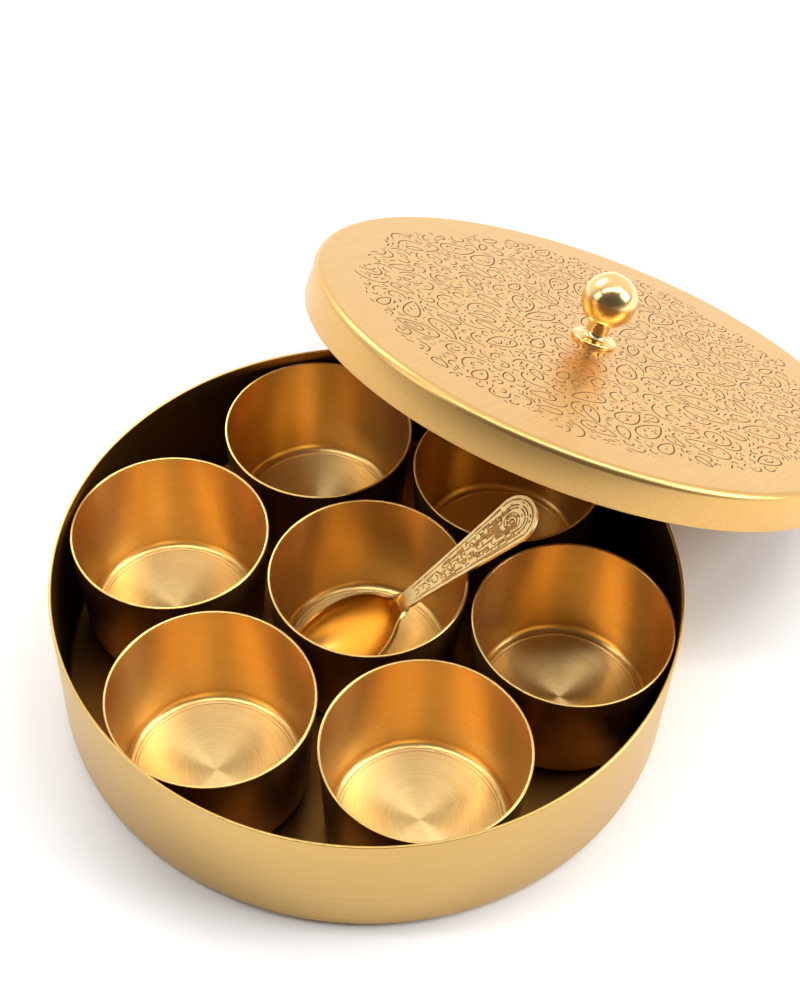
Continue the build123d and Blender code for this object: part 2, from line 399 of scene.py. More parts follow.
def spoon_stations(sizes, bend):
    """Stations from the bowl's tip to the handle's end, in the frame of the bowl's mouth."""
    sheet = sizes.spoon_sheet
    half, wide, deep = sizes.bowl_length / 2 - sheet, sizes.bowl_width / 2 - sheet, sizes.bowl_depth - sheet
    neck = sizes.handle_neck / 2
    reach = sizes.bowl_length / 2 + sheet
    flat = 0.002 * MM
    tip_angle, neck_angle = -86, 60
    begin = 3 * MM  # where the handle's even taper begins
    stations = []
    count = 40
    for step in range(count + 1):
        angle = math.radians(tip_angle + (neck_angle - tip_angle) * step / count)
        x = half * math.sin(angle)
        stations.append((x, 0.0, wide * math.cos(angle), deep * math.cos(angle)))
    x0, _, wide0, deep0 = stations[-1]
    slope0 = -wide / half * math.tan(math.radians(neck_angle))
    count = 14
    span = reach + begin - x0
    for step in range(1, count + 1):
        t = step / count
        x = x0 + span * t
        width = (
            (2 * t**3 - 3 * t**2 + 1) * wide0
            + (t**3 - 2 * t**2 + t) * span * slope0
            + (3 * t**2 - 2 * t**3) * handle_half_width(sizes, begin)
        )
        ease = t * t * (3 - 2 * t)
        depth = deep0 * (1 - t) ** 1.7
        rise = max(0.0, x - reach) * math.tan(bend) + sizes.handle_rise * ease
        stations.append((x, rise, max(width, neck * 0.9), max(depth, flat)))
    end = sizes.handle_end / 2
    centre = sizes.handle_length - end
    count = 16
    alongs = [begin + (centre - begin) * step / count for step in range(1, count + 1)]
    alongs += [centre + end * math.sin(math.radians(86 * step / count)) for step in range(1, count + 1)]
    for along in alongs:
        x = reach + along * math.cos(bend)
        z = sizes.handle_rise + along * math.sin(bend)
        stations.append((x, z, handle_half_width(sizes, along), flat))
    return stations


# Engraving


class StrokeField:
    """Strokes of an engraved pattern, laid one at a time where none lies too near."""

    def __init__(self, inside, spacing):
        self.inside = inside
        self.spacing = spacing
        self.cells = {}
        self.strokes = []

    def cell(self, point):
        """The square of the grid that a point is in."""
        return int(point[0] // self.spacing), int(point[1] // self.spacing)

    def free(self, points):
        """Whether all points are inside the field and away from every laid stroke."""
        for point in points:
            if not self.inside(point):
                return False
            column, row = self.cell(point)
            for i in (-1, 0, 1):
                for j in (-1, 0, 1):
                    for other in self.cells.get((column + i, row + j), ()):
                        if math.dist(point, other) < self.spacing:
                            return False
        return True

    def lay(self, points):
        """Adds a stroke if there is room for it."""
        dense = thicken_points(points, self.spacing / 2)
        if self.free(dense):
            for point in dense:
                self.cells.setdefault(self.cell(point), []).append(point)
            self.strokes.append(points)


def thicken_points(points, step):
    """The same path with points no further apart than a step."""
    dense = [points[0]]
    for first, last in zip(points, points[1:]):
        count = max(1, math.ceil(math.dist(first, last) / step))
        for index in range(1, count + 1):
            share = index / count
            dense.append((first[0] + (last[0] - first[0]) * share, first[1] + (last[1] - first[1]) * share))
    return dense


def scroll(centre, radius, start, sweep, tail, count):
    """A curl: an arc that closes in on its end, with a straight tail where it starts."""
    side = 1 if sweep > 0 else -1
    points = [beside(centre, start, radius, -side * tail)] if tail else []
    for index in range(count + 1):
        share = index / count
        points.append(on_circle(centre, radius * (1 - 0.45 * share**2), start + sweep * share))
    return points


def leaf(tip, angle, long, slim):
    """A teardrop loop that starts and ends at its tip."""
    count = 26
    opening = 0.22
    points = []
    for index in range(count + 1):
        turn = opening + (FULL_TURN - 2 * opening) * index / count
        reach = long * (1 - math.cos(turn)) / 2
        side = long * slim / 2 * math.sin(turn) * math.sin(turn / 2) ** 0.8 * 1.25
        points.append(beside(tip, angle, reach, side))
    return points


def dash(centre, angle, half, bow):
    """A short cut with a slight bow."""
    return [beside(centre, angle, half * share, bow * (1 - share**2)) for share in (-1, -0.5, 0, 0.5, 1)]


def cut_strokes(piece, strokes, width, surface_height, place, patina):
    """Engraves strokes into a flat top: tapered wires are sunk in it and taken away."""
    thickness = 0.62 * width
    taper = 0.6
    wires = bpy.data.curves.new("engraving_wires", "CURVE")
    wires.dimensions = "3D"
    wires.bevel_depth = thickness
    wires.bevel_resolution = 0
    wires.use_fill_caps = True
    for points in strokes:
        spline = wires.splines.new("POLY")
        spline.points.add(len(points) - 1)
        for index, (x, y) in enumerate(points):
            spline.points[index].co = (x, y, surface_height, 1)
            at_end = index in (0, len(points) - 1)
            spline.points[index].radius = taper if at_end else 1.0
    cutter = bpy.data.objects.new("engraving_wires", wires)
    bpy.context.scene.collection.objects.link(cutter)
    cutter.matrix_world = place
    bpy.ops.object.select_all(action="DESELECT")
    bpy.context.view_layer.objects.active = cutter
    cutter.select_set(True)
    bpy.ops.object.convert(target="MESH")
    bpy.ops.object.mode_set(mode="EDIT")
    bpy.ops.mesh.select_all(action="SELECT")
    bpy.ops.mesh.remove_doubles(threshold=0.001 * MM)
    bpy.ops.mesh.normals_make_consistent(inside=False)
    bpy.ops.object.mode_set(mode="OBJECT")
    before = len(piece.data.polygons)
    modifier = piece.modifiers.new("engraving", "BOOLEAN")
    modifier.operation = "DIFFERENCE"
    modifier.solver = "MANIFOLD"
    modifier.object = cutter
    bpy.ops.object.select_all(action="DESELECT")
    bpy.context.view_layer.objects.active = piece
    piece.select_set(True)
    bpy.ops.object.modifier_apply(modifier="engraving")
    bpy.data.objects.remove(cutter)
    if len(piece.data.polygons) < before + len(strokes):
        raise RuntimeError(f"{piece.name}: the engraving cut nothing")
    piece.data.materials.append(patina)
    inward = place.inverted()
    sunk = surface_height - width * 0.02
    floor = surface_height - width * 0.8
    reach = max(math.hypot(x, y) for points in strokes for x, y in points) + width
    nearest = min(x for points in strokes for x, y in points) - width
    for face in piece.data.polygons:
        spot = inward @ face.center
        if floor < spot.z < sunk and spot.x > nearest and math.hypot(spot.x, spot.y) < reach:
            face.material_index = len(piece.data.materials) - 1


def lid_strokes(sizes):
    """Scrolls, hooks, dashes and dots that fill a round field with a ragged edge."""
    rng = random.Random(sizes.seed)
    edge = sizes.field_radius
    clear = sizes.flange_radius + 1.0 * MM
    most_points = 26

    def inside(point):
        reach = math.hypot(*point)
        bearing = math.atan2(point[1], point[0])
        ragged = 2.2 * MM * math.sin(9 * bearing) + 1.6 * MM * math.sin(23 * bearing + 1)
        return clear < reach < edge + ragged

    def anywhere():
        reach = edge * math.sqrt(rng.random())
        return on_circle((0, 0), reach, rng.uniform(0, FULL_TURN))

    def flow(point):
        x, y = point[0] / MM, point[1] / MM
        return 0.5 + 0.9 * math.sin(x / 17) + 0.7 * math.cos(y / 13 + x / 29)

    # each kind of stroke: how many are tried, and their least and greatest size in millimetres
    field = StrokeField(inside, 1.2 * MM)
    for tries, low, high in ((60, 12.0, 17.0), (110, 7.0, 11.0)):
        for _ in range(tries):
            tip, angle = anywhere(), rng.uniform(0, FULL_TURN)
            long, slim = rng.uniform(low, high) * MM, rng.uniform(0.4, 0.6)
            field.lay(leaf(tip, angle, long, slim))
    for tries, low, high, first, last in (
        (900, 5.0, 10.0, 1.0, 2.4),
        (1300, 2.4, 4.6, 2.4, 4.6),
        (3200, 1.0, 2.2, 1.8, 3.8),
    ):
        for _ in range(tries):
            radius = rng.uniform(low, high) * MM
            sweep = rng.choice((-1, 1)) * rng.uniform(first, last)
            tail = rng.uniform(0, 0.8) * min(radius, 3 * MM)
            count = min(max(6, round(abs(sweep) * radius / (0.95 * MM))), most_points)
            centre, start = anywhere(), rng.uniform(0, FULL_TURN)
            field.lay(scroll(centre, radius, start, sweep, tail, count))
    for tries, low, high in ((4000, 1.5, 3.0), (5000, 0.7, 1.4), (4000, 0.3, 0.55)):
        for _ in range(tries):
            centre = anywhere()
            half = rng.uniform(low, high) * MM / 2 * 1.3
            angle = flow(centre) + rng.gauss(0, 0.25)
            field.lay(dash(centre, angle, half, rng.uniform(-0.2, 0.2) * half))
    return field.strokes


def handle_strokes(sizes):
    """A groove inside the handle's border, rings at its round end, and close scrolls between."""
    rng = random.Random(sizes.seed + 1)
    border = sizes.handle_border
    end = sizes.handle_end / 2
    centre = sizes.handle_length - end
    begin = 6.5 * MM
    clear = border + 0.75 * MM

    def inside(point):
        x, y = point
        if x > centre:
            return math.hypot(x - centre, y) < end - clear
        return x > begin + 0.8 * MM and abs(y) < handle_half_width(sizes, x) - clear

    def arc(middle, radius, first, sweep, count):
        return [on_circle((middle, 0), radius, first + sweep * step / count) for step in range(count + 1)]

    def anywhere():
        return rng.uniform(begin, centre + end), rng.uniform(-end, end)

    alongs = [begin + (centre - begin) * step / 30 for step in range(31)]
    side = [(along, -(handle_half_width(sizes, along) - border)) for along in alongs]
    round_end = arc(centre, end - border, -math.pi / 2, math.pi, 24)[1:-1]
    groove = side + round_end + [(x, -y) for x, y in reversed(side)]
    field = StrokeField(inside, 0.88 * MM)
    for radius in (0.9, 2.0, 3.1):
        field.lay(arc(centre - 1.0 * MM, radius * MM, rng.uniform(0, FULL_TURN), 5.6, 18))
    for radius in (4.3, 5.4):
        for first, last in ((-100, -35), (-22, 28), (42, 105)):
            field.lay(arc(centre, radius * MM, math.radians(first), math.radians(last - first), 8))
    for tries, low, high in ((400, 1.5, 2.4), (900, 0.8, 1.4)):
        for _ in range(tries):
            spot = anywhere()
            radius = rng.uniform(low, high) * MM
            sweep = rng.choice((-1, 1)) * rng.uniform(2.6, 4.6)
            field.lay(scroll(spot, radius, rng.uniform(0, FULL_TURN), sweep, 0.4 * radius, 9))
    for tries, low, high in ((1500, 0.9, 1.8), (2500, 0.35, 0.8)):
        for _ in range(tries):
            spot = anywhere()
            half = rng.uniform(low, high) * MM / 2
            field.lay(dash(spot, rng.choice((0.5, 1.2, -0.9)) + rng.gauss(0, 0.1), half, 0.1 * half))
    return [groove] + field.strokes


# Finishes


def math_node(nodes, links, operation, first, second=None):
    """A Math node whose inputs are numbers or other nodes' outputs."""
    node = nodes.new("ShaderNodeMath")
    node.operation = operation
    for slot, value in enumerate((first, second)):
        if isinstance(value, (int, float)):
            node.inputs[slot].default_value = value
        elif value is not None:
            links.new(value, node.inputs[slot])
    return node.outputs[0]


def blend_node(nodes, links, factor, low, high):
    """A Mix node between two colours."""
    blend = nodes.new("ShaderNodeMix")
    blend.data_type = "RGBA"
    blend.inputs["A"].default_value = (*low, 1)
    blend.inputs["B"].default_value = (*high, 1)
    links.new(factor, blend.inputs["Factor"])
    return blend.outputs["Result"]


def range_node(nodes, links, value, source, target=(0.0, 1.0), smooth=False):
    """A Map Range node from one pair of limits to another."""
    node = nodes.new("ShaderNodeMapRange")
    if smooth:
        node.interpolation_type = "SMOOTHSTEP"
    node.inputs["From Min"].default_value, node.inputs["From Max"].default_value = source
    node.inputs["To Min"].default_value, node.inputs["To Max"].default_value = target
    links.new(value, node.inputs["Value"])
    return node.outputs["Result"]


def turned_directions(nodes, links, place, lines):
    """Noise coordinates that run fast with radius and height, and slowly round Z."""
    x, y, z = place
    slow = 1.6
    squares = [math_node(nodes, links, "MULTIPLY", part, part) for part in (x, y)]
    radius = math_node(nodes, links, "SQRT", math_node(nodes, links, "ADD", *squares))
    return (
        math_node(nodes, links, "MULTIPLY", radius, lines),
        math_node(nodes, links, "MULTIPLY", z, lines),
        math_node(nodes, links, "MULTIPLY", math_node(nodes, links, "ARCTAN2", y, x), slow),
    )


def straight_directions(nodes, links, place, lines):
    """Noise coordinates that run slowly along X and fast across it."""
    x, y, z = place
    slow = 60.0
    return (
        math_node(nodes, links, "MULTIPLY", x, slow),
        math_node(nodes, links, "MULTIPLY", y, lines),
        math_node(nodes, links, "MULTIPLY", z, lines),
    )


# each kind of brushing: how its noise runs, and how rough that noise is
GRAINS = {"turned_grain": (turned_directions, 0.6), "straight_grain": (straight_directions, 0.5)}


def grain_group(kind):
    """The node group of a kind of brushing: a fine mask along it, and a cloudy one."""
    if kind in bpy.data.node_groups:
        return bpy.data.node_groups[kind]
    directions, noise_roughness = GRAINS[kind]
    group = bpy.data.node_groups.new(kind, "ShaderNodeTree")
    group.interface.new_socket(name="Vector", in_out="INPUT", socket_type="NodeSocketVector")
    lines = group.interface.new_socket(name="Lines", in_out="INPUT", socket_type="NodeSocketFloat")
    lines.default_value = BRUSH_LINES
    for name in ("Grain", "Cloud"):
        group.interface.new_socket(name=name, in_out="OUTPUT", socket_type="NodeSocketFloat")
    nodes, links = group.nodes, group.links
    source = nodes.new("NodeGroupInput")
    sink = nodes.new("NodeGroupOutput")
    split = nodes.new("ShaderNodeSeparateXYZ")
    links.new(source.outputs["Vector"], split.inputs[0])
    join = nodes.new("ShaderNodeCombineXYZ")
    for socket, value in zip(join.inputs, directions(nodes, links, split.outputs, source.outputs["Lines"])):
        links.new(value, socket)
    grain = nodes.new("ShaderNodeTexNoise")
    grain.inputs["Scale"].default_value = 1.0
    grain.inputs["Detail"].default_value = 3.0
    grain.inputs["Roughness"].default_value = noise_roughness
    links.new(join.outputs[0], grain.inputs["Vector"])
    links.new(grain.outputs["Fac"], sink.inputs["Grain"])
    cloud = nodes.new("ShaderNodeTexNoise")
    cloud.inputs["Scale"].default_value = 24.0
    cloud.inputs["Detail"].default_value = 2.0
    links.new(source.outputs["Vector"], cloud.inputs["Vector"])
    links.new(cloud.outputs["Fac"], sink.inputs["Cloud"])
    return group


def brass_finish(
    name, light, deep, kind, roughness, spread, relief, anisotropy=0.0, place=None, lines=BRUSH_LINES
):
    """Brushed brass: its colour runs from deep to light with the grain, which is relief metres high.

    The roughness stays within the spread. The place is that of the piece, whose axis the grain follows.
    """
    material = bpy.data.materials.new(name)
    material.use_nodes = True
    nodes, links = material.node_tree.nodes, material.node_tree.links
    shader = nodes["Principled BSDF"]
    shader.inputs["Metallic"].default_value = 1.0
    if anisotropy:
        shader.inputs["Anisotropic"].default_value = anisotropy
        shader.inputs["Anisotropic Rotation"].default_value = QUARTER
    vector = nodes.new("ShaderNodeTexCoord").outputs["Object"]
    if place is not None:
        inward = place.inverted()
        mapping = nodes.new("ShaderNodeMapping")
        mapping.vector_type = "POINT"
        mapping.inputs["Location"].default_value = inward.to_translation()
        mapping.inputs["Rotation"].default_value = inward.to_euler()
        links.new(vector, mapping.inputs["Vector"])
        vector = mapping.outputs["Vector"]
    grain = nodes.new("ShaderNodeGroup")
    grain.node_tree = grain_group(kind)
    grain.inputs["Lines"].default_value = lines
    links.new(vector, grain.inputs["Vector"])
    fade = range_node(nodes, links, grain.outputs["Grain"], (0.25, 0.6))
    links.new(blend_node(nodes, links, fade, deep, light), shader.inputs["Base Color"])
    limits = (roughness - spread, roughness + spread)
    rough = range_node(nodes, links, grain.outputs["Cloud"], (0.0, 1.0), limits)
    links.new(rough, shader.inputs["Roughness"])
    bump = nodes.new("ShaderNodeBump")
    bump.inputs["Strength"].default_value = 1.0
    bump.inputs["Distance"].default_value = relief
    links.new(grain.outputs["Grain"], bump.inputs["Height"])
    links.new(bump.outputs["Normal"], shader.inputs["Normal"])
    return material


def patina_finish(name, dark):
    """The dark wax left in engraved lines, patchy and up to 2.4 times lighter."""
    material = bpy.data.materials.new(name)
    material.use_nodes = True
    nodes, links = material.node_tree.nodes, material.node_tree.links
    shader = nodes["Principled BSDF"]
    shader.inputs["Metallic"].default_value = 0.6
    shader.inputs["Roughness"].default_value = 0.6
    noise = nodes.new("ShaderNodeTexNoise")
    noise.inputs["Scale"].default_value = 300.0
    links.new(nodes.new("ShaderNodeTexCoord").outputs["Object"], noise.inputs["Vector"])
    pale = [min(1, 2.4 * value) for value in dark]
    links.new(blend_node(nodes, links, noise.outputs["Fac"], dark, pale), shader.inputs["Base Color"])
    return material


def paint_faces(piece, material, wanted):
    """Gives the wanted faces of a piece a second finish."""
    piece.data.materials.append(material)
    for face in piece.data.polygons:
        if wanted(face):
            face.material_index = len(piece.data.materials) - 1


def outward(face, middle):
    """How much a face of a turned piece looks away from its axis."""
    radial = Vector((face.center.x - middle.x, face.center.y - middle.y))
    return radial.normalized().dot(face.normal.xy) if radial.length > 0 else 0.0


def dress(piece, material, body, slot, *nodes):
    """Gives a piece its finish, hangs it under the body that carries it and hides the model parts it stands
    for. The slot is not used.
    """
    if piece.data.materials:
        piece.data.materials[0] = material
    else:
        piece.data.materials.append(material)
    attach(piece, body)
    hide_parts(*nodes)


# Operators


class SPICEBOX_OT_pan(bpy.types.Operator):
    """Makes the shallow pan"""

    bl_idname = "spicebox.pan"
    bl_label = "Pan"

    def execute(self, context):
        sizes, colours = context.scene.spice_sizes, context.scene.spice_colours
        outline = vessel_outline(
            sizes.pan_radius,
            sizes.pan_radius,
            sizes.pan_height,
            sizes.pan_sheet,
            sizes.pan_corner,
            0.35 * MM,
        )
        pan = settle(lathe("pan", outline, WIDE_SIDES), Matrix.Identity(4))
        brushing = {"kind": "turned_grain", "spread": 0.012, "relief": 0.01 * MM, "anisotropy": 0.5}
        # the outer wall's darkened brass is painted shade
        finish = brass_finish("pan_brass", colours.pan_brass, colours.brass_deep, roughness=0.30, **brushing)
        # the pan's inner wall and floor get the near-black brown: painted shade
        painted_shade = brass_finish("pan_inside_shade", colours.pan_inside_shade, colours.pan_inside_shade, roughness=0.36, **brushing)
        dress(pan, finish, "pan", "pan_brass", "box_pan")
        rim = sizes.pan_height - 0.5 * MM
        low = 0.2 * sizes.pan_height
        inner = sizes.pan_radius - 0.9 * sizes.pan_sheet

        # the inner wall and floor, where the painted shade goes
        def inside(face):
            on_wall = outward(face, Vector()) < -0.3 and face.center.z < rim
            on_floor = face.normal.z > 0.3 and face.center.z < low and face.center.xy.length < inner
            return on_wall or on_floor

        paint_faces(pan, painted_shade, inside)
        return {"FINISHED"}


class SPICEBOX_OT_cups(bpy.types.Operator):
    """Makes the middle cup and the six round it"""

    bl_idname = "spicebox.cups"
    bl_label = "Cups"

    def execute(self, context):
        sizes, colours = context.scene.spice_sizes, context.scene.spice_colours
        bead = bead_points(sizes.bead_radius, sizes.bead_width, sizes.bead_rise, sizes.cup_sheet)
        outline = vessel_outline(
            sizes.cup_radius,
            sizes.cup_foot_radius,
            sizes.cup_height,
            sizes.cup_sheet,
            sizes.cup_corner,
            RIM_ROUND,
            bead,
        )
        pitch = 2 * sizes.cup_radius + sizes.cup_gap
        places = {"cup_centre": Vector((0, 0, sizes.pan_sheet))}
        for index, name in enumerate(RING_CUPS):
            angle = sizes.cup_ring_start + index * FULL_TURN / len(RING_CUPS)
            places[name] = Vector((*on_circle((0, 0), pitch, angle), sizes.pan_sheet))
        first = lathe("cup_pattern", outline, CUP_SIDES)
        for name, spot in places.items():
            cup = first.copy()
            cup.data = first.data.copy()
            cup.name = cup.data.name = name.replace("cup_", "spice_cup_")
            context.scene.collection.objects.link(cup)
            place = Matrix.Translation(spot)
            settle(cup, place)
            turned = {"kind": "turned_grain", "place": place}
            finish = brass_finish(
                name + "_brass",
                colours.brass,
                colours.brass_deep,
                roughness=0.295,
                spread=0.01,
                relief=0.012 * MM,
                anisotropy=0.8,
                **turned,
            )
            # the floor inside the bead gets the paler brass: painted light
            floor = brass_finish(
                name + "_floor",
                colours.painted_light_brass,
                colours.brass,
                roughness=0.42,
                spread=0.02,
                relief=0.012 * MM,
                anisotropy=0.85,
                **turned,
            )
            # the outer walls and undersides get the dark brown: painted shade
            painted_shade = brass_finish(
                name + "_outside",
                colours.cup_outside_shade,
                colours.cup_outside_shade,
                roughness=0.31,
                spread=0.012,
                relief=0.01 * MM,
                anisotropy=0.6,
                **turned,
            )
            dress(cup, finish, name, "cup_brass", name)
            low = spot.z + 4 * sizes.cup_sheet
            rim = spot.z + sizes.cup_height - 0.5 * MM
            inner = sizes.bead_radius + 0.3 * sizes.bead_width

            # the floor inside the bead, where the painted light goes
            def within_bead(face):
                near = (face.center - spot).xy.length < inner
                return near and face.normal.z > 0.5 and face.center.z < low

            # the outer wall and underside, where the painted shade goes
            def outside(face):
                return face.center.z < rim and (outward(face, spot) > 0.3 or face.normal.z < -0.3)

            paint_faces(cup, floor, within_bead)
            paint_faces(cup, painted_shade, outside)
        bpy.data.objects.remove(first)
        return {"FINISHED"}


class SPICEBOX_OT_lid(bpy.types.Operator):
    """Makes the pressed lid and engraves its top"""

    bl_idname = "spicebox.lid"
    bl_label = "Lid"

    def execute(self, context):
        sizes, colours = context.scene.spice_sizes, context.scene.spice_colours
        radius = lid_radius(sizes)
        outline = vessel_outline(
            radius, radius, sizes.lid_depth, sizes.lid_sheet, sizes.lid_shoulder, RIM_ROUND
        )
        lid = lathe("lid", outline, WIDE_SIDES)
        flip = Matrix.Translation((0, 0, sizes.lid_depth)) @ Matrix.Rotation(math.pi, 4, "X")
        settle(lid, flip)
        place = lid_place(sizes)
        finish = brass_finish(
            "lid_brass",
            colours.lid_brass,
            colours.lid_deep,
            kind="straight_grain",
            roughness=0.34,
            spread=0.03,
            relief=0.01 * MM,
            place=place,
            lines=1800.0,
        )
        lid.data.materials.append(finish)
        patina = patina_finish("lid_patina", colours.patina)
        cut_strokes(lid, lid_strokes(sizes), sizes.stroke_width, sizes.lid_depth, Matrix.Identity(4), patina)
        settle(lid, place)
        # the top is flat: shaded flat, its long thin faces leave no streaks
        up = place.to_3x3() @ Vector((0, 0, 1))
        for face in lid.data.polygons:
            if face.normal.dot(up) > 0.9999:
                face.use_smooth = False
        dress(lid, finish, "lid", "lid_brass", "lid_cover")
        return {"FINISHED"}


class SPICEBOX_OT_knob(bpy.types.Operator):
    """Makes the ball knob, and finishes the screw and washer that hold it"""

    bl_idname = "spicebox.knob"
    bl_label = "Knob"

    def execute(self, context):
        sizes, colours = context.scene.spice_sizes, context.scene.spice_colours
        place = lid_place(sizes)
        seat = place @ Matrix.Translation((0, 0, sizes.lid_depth))
        joint = math.sqrt(sizes.ball_radius**2 - sizes.neck_radius**2)
        outline = rounded(
            [
                (0.3 * sizes.flange_radius, 0, 0),
                (sizes.flange_radius, 0, 0.3 * MM),
                (sizes.flange_radius, sizes.flange_thickness, 0.6 * MM),
                (0.8 * sizes.flange_radius, sizes.flange_thickness + 0.25 * MM, 0.8 * MM),
                (sizes.neck_radius, sizes.flange_thickness + 0.9 * MM, 2.2 * MM),
                (sizes.neck_radius, sizes.neck_rise + 1.2 * MM, 0),
                (sizes.neck_radius, sizes.ball_rise - joint, 0),
            ]
        )
        first = math.asin(-joint / sizes.ball_radius)
        rings = 40
        for step in range(1, rings):
            angle = first + (math.pi / 2 - first) * step / rings
            outline.append(on_circle((0, sizes.ball_rise), sizes.ball_radius, angle))
        knob = settle(lathe("knob", outline, KNOB_SIDES), seat, 40)
        finish = brass_finish(
            "knob_brass",
            colours.polish,
            colours.polish,
            kind="turned_grain",
            roughness=0.21,
            spread=0.02,
            relief=0.001 * MM,
            place=place,
        )
        dress(knob, finish, "lid", "knob_brass", "lid_knob")
        fastener = brass_finish(
            "screw_brass",
            colours.brass,
            colours.brass_deep,
            kind="turned_grain",
            roughness=0.3,
            spread=0.03,
            relief=0.005 * MM,
            place=place,
        )
        for name in ("knob_washer", "knob_screw"):
            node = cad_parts[name]
            node.data.materials.clear()
            node.data.materials.append(fastener)
        return {"FINISHED"}


class SPICEBOX_OT_spoon(bpy.types.Operator):
    """Makes the spoon: bowl, neck and a handle with chased scrolls"""

    bl_idname = "spicebox.spoon"
    bl_label = "Spoon"

    def execute(self, context):
        sizes, colours = context.scene.spice_sizes, context.scene.spice_colours
        middle, start, slope = spoon_lines(sizes)
        bend = slope - sizes.bowl_tilt
        spoon = sheet_strip("spice_spoon", spoon_stations(sizes, bend))
        face_outward()
        up = sum((face.normal.z for face in spoon.data.polygons), 0.0) > 0
        solid = spoon.modifiers.new("sheet", "SOLIDIFY")
        solid.thickness = sizes.spoon_sheet
        solid.offset = -1 if up else 1
        thick = spoon.vertex_groups.new(name="handle")
        reach = sizes.bowl_length / 2 + sizes.spoon_sheet
        thick.add([v.index for v in spoon.data.vertices if v.co.x > reach - 2 * MM], 1.0, "REPLACE")
        # the bowl is a little over half as thick as the handle
        solid.vertex_group = "handle"
        solid.thickness_vertex_group = 0.55
        bpy.ops.object.modifier_apply(modifier="sheet")
        face_outward()
        bearing = Matrix.Rotation(sizes.spoon_bearing, 4, "Z")
        aside = Matrix.Translation((middle.x, sizes.spoon_offset, middle.y))
        place = bearing @ aside @ Matrix.Rotation(-sizes.bowl_tilt, 4, "Y")
        # the handle gets the paler brass: painted light
        finish = brass_finish(
            "spoon_brass",
            colours.painted_light_brass,
            colours.brass,
            kind="straight_grain",
            roughness=0.31,
            spread=0.012,
            relief=0.004 * MM,
            place=place,
        )
        # the bowl gets darker brass than the handle: painted shade
        bowl_shade_finish = brass_finish(
            "spoon_bowl",
            colours.bowl_shaded_brass,
            colours.bowl_shaded_brass,
            kind="straight_grain",
            roughness=0.30,
            spread=0.01,
            relief=0.002 * MM,
            place=place,
        )
        spoon.data.materials.append(finish)
        handle = Matrix.Translation((reach, 0, 0)) @ Matrix.Rotation(-bend, 4, "Y")
        surface = sizes.handle_rise * math.cos(bend)
        brown = patina_finish("spoon_patina", colours.chased)
        cut_strokes(spoon, handle_strokes(sizes), sizes.chase_width, surface, handle, brown)
        settle(spoon, place)
        dress(spoon, finish, "spoon", "spoon_brass", "spoon")
        half = 0.5 * sizes.bowl_length
        bowl_middle = place.translation

        # the bowl's faces, where the painted shade goes
        def in_bowl(face):
            return face.material_index == 0 and (face.center - bowl_middle).length < half

        paint_faces(spoon, bowl_shade_finish, in_bowl)
        return {"FINISHED"}


# Stage


# each lamp's name, place, width, height and power
LAMPS = (
    ("left_strip", (-0.32, -0.02, 1.5), 0.10, 0.9, 5.5),
    ("overhead_lamp", (0.62, 0.1, 1.35), 0.34, 0.9, 7),
    ("right_lamp", (1.35, -0.15, 0.85), 0.6, 0.8, 14),
    ("left_lamp", (-1.25, -0.2, 0.95), 0.5, 0.8, 4),
    ("back_lamp", (-0.6, 1.1, 1.05), 0.8, 0.5, 7),
)
# the camera's sensor in millimetres, and the picture's width and the lens in pixels
SENSOR = 36.0
PHOTO_WIDTH = 800
FOCAL_PIXELS = 1709.2


def camera_place():
    """The photograph's viewpoint: a camera ahead of the box and above it, looking down at the cups."""
    eye = Vector((0, -355.68 * MM, 491.67 * MM))
    back = Vector((-0.0168, -0.65715, 0.75357)).normalized()
    right = Vector((0.99913, 0.01765, 0.03766))
    right = (right - right.dot(back) * back).normalized()
    up = back.cross(right)
    turn = Matrix((right, up, back)).transposed().to_4x4()
    return Matrix.Translation(eye) @ turn


def soft_box(name, spot, width, height, power):
    """A rectangular studio lamp turned towards the box."""
    lamp = bpy.data.lights.new(name, "AREA")
    lamp.shape = "RECTANGLE"
    lamp.size = width
    lamp.size_y = height
    lamp.energy = power
    holder = bpy.data.objects.new(name, lamp)
    bpy.context.scene.collection.objects.link(holder)
    aim = (Vector((0, 0, 20 * MM)) - Vector(spot)).to_track_quat("-Z", "Y")
    holder.matrix_world = Matrix.Translation(spot) @ aim.to_matrix().to_4x4()


def table_finish(pale):
    """A pale table that fades to white away from the box, and bounces less light than it shows."""
    material = bpy.data.materials.new("pale_table")
    material.use_nodes = True
    nodes, links = material.node_tree.nodes, material.node_tree.links
    shader = nodes["Principled BSDF"]
    shader.inputs["Roughness"].default_value = 0.6
    shader.inputs["Specular IOR Level"].default_value = 0.2
    path = nodes.new("ShaderNodeLightPath").outputs
    seen = math_node(nodes, links, "MAXIMUM", path["Is Camera Ray"], path["Is Glossy Ray"])
    seen = math_node(nodes, links, "MAXIMUM", seen, path["Is Transmission Ray"])
    bounced = [0.66 * part for part in pale]
    links.new(blend_node(nodes, links, seen, bounced, pale), shader.inputs["Base Color"])
    reach = nodes.new("ShaderNodeVectorMath")
    reach.operation = "LENGTH"
    links.new(nodes.new("ShaderNodeTexCoord").outputs["Object"], reach.inputs[0])
    far = range_node(nodes, links, reach.outputs["Value"], (0.45, 1.4), smooth=True)
    shader.inputs["Emission Color"].default_value = (1, 1, 1, 1)
    links.new(math_node(nodes, links, "MULTIPLY", far, seen), shader.inputs["Emission Strength"])
    return material


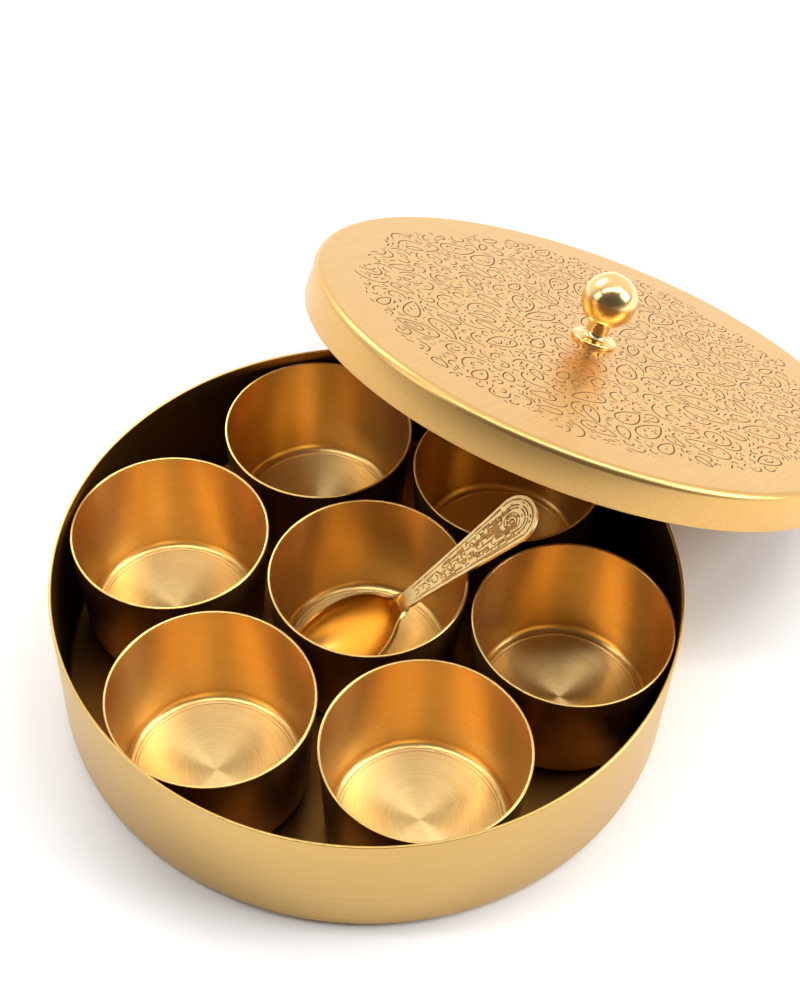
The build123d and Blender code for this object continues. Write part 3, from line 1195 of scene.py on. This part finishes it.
def studio_world():
    """A studio that is bright behind the box and dim ahead of it, and shows white in the picture."""
    world = bpy.data.worlds.new("studio")
    world.use_nodes = True
    nodes, links = world.node_tree.nodes, world.node_tree.links
    nodes.clear()
    split = nodes.new("ShaderNodeSeparateXYZ")
    links.new(nodes.new("ShaderNodeTexCoord").outputs["Generated"], split.inputs[0])
    behind = range_node(nodes, links, split.outputs[1], (-0.25, 0.5), (0.10, 1.15), smooth=True)
    low = range_node(nodes, links, split.outputs[2], (0.05, 0.35), (0.5, 0.0), smooth=True)
    room = nodes.new("ShaderNodeBackground")
    room.inputs["Color"].default_value = (1, 1, 1, 1)
    links.new(math_node(nodes, links, "MAXIMUM", behind, low), room.inputs["Strength"])
    white = nodes.new("ShaderNodeBackground")
    white.inputs["Color"].default_value = (1, 1, 1, 1)
    mix = nodes.new("ShaderNodeMixShader")
    links.new(nodes.new("ShaderNodeLightPath").outputs["Is Camera Ray"], mix.inputs["Fac"])
    links.new(room.outputs[0], mix.inputs[1])
    links.new(white.outputs[0], mix.inputs[2])
    links.new(mix.outputs[0], nodes.new("ShaderNodeOutputWorld").inputs["Surface"])
    return world


class SPICEBOX_OT_stage(bpy.types.Operator):
    """Sets the table, the lamps and the camera"""

    bl_idname = "spicebox.stage"
    bl_label = "Stage"

    def execute(self, context):
        scene = context.scene
        colours = scene.spice_colours
        scene.view_settings.view_transform = "Standard"
        bpy.ops.object.select_all(action="DESELECT")
        bpy.ops.mesh.primitive_circle_add(
            vertices=96, radius=TABLE_RADIUS, fill_type="NGON", location=(0, 0, 0)
        )
        table = context.object
        table.name = "table"
        table.data.materials.append(table_finish(colours.table))
        scene.world = studio_world()
        for lamp in LAMPS:
            soft_box(*lamp)
        camera = bpy.data.cameras.new("photo_camera")
        camera.sensor_fit = "HORIZONTAL"
        camera.sensor_width = SENSOR
        camera.lens = FOCAL_PIXELS / PHOTO_WIDTH * SENSOR
        camera.clip_start = 0.01
        eye = bpy.data.objects.new("photo_camera", camera)
        scene.collection.objects.link(eye)
        eye.matrix_world = camera_place()
        scene.camera = eye
        return {"FINISHED"}


class SPICEBOX_PT_panel(bpy.types.Panel):
    """Lists the pieces and their sizes"""

    bl_label = "Spice Box"
    bl_idname = "SPICEBOX_PT_panel"
    bl_space_type = "VIEW_3D"
    bl_region_type = "UI"
    bl_category = "Spice Box"

    def draw(self, context):
        layout = self.layout
        for operator in OPERATORS:
            layout.operator(operator.bl_idname)
        for group in (context.scene.spice_sizes, context.scene.spice_colours):
            column = layout.column()
            for name in group.__annotations__:
                column.prop(group, name)


OPERATORS = (
    SPICEBOX_OT_pan,
    SPICEBOX_OT_cups,
    SPICEBOX_OT_lid,
    SPICEBOX_OT_knob,
    SPICEBOX_OT_spoon,
    SPICEBOX_OT_stage,
)
CLASSES = (SpiceBoxSizes, SpiceBoxColours, *OPERATORS, SPICEBOX_PT_panel)


def register():
    """Adds the classes and the two groups of properties."""
    for entry in CLASSES:
        bpy.utils.register_class(entry)
    bpy.types.Scene.spice_sizes = PointerProperty(type=SpiceBoxSizes)
    bpy.types.Scene.spice_colours = PointerProperty(type=SpiceBoxColours)


def unregister():
    """Takes them away again."""
    del bpy.types.Scene.spice_colours
    del bpy.types.Scene.spice_sizes
    for entry in reversed(CLASSES):
        bpy.utils.unregister_class(entry)


def main():
    """Builds every piece and the stage."""
    register()
    bpy.ops.spicebox.pan()
    bpy.ops.spicebox.cups()
    bpy.ops.spicebox.lid()
    bpy.ops.spicebox.knob()
    bpy.ops.spicebox.spoon()
    bpy.ops.spicebox.stage()


if __name__ == "__main__":
    main()
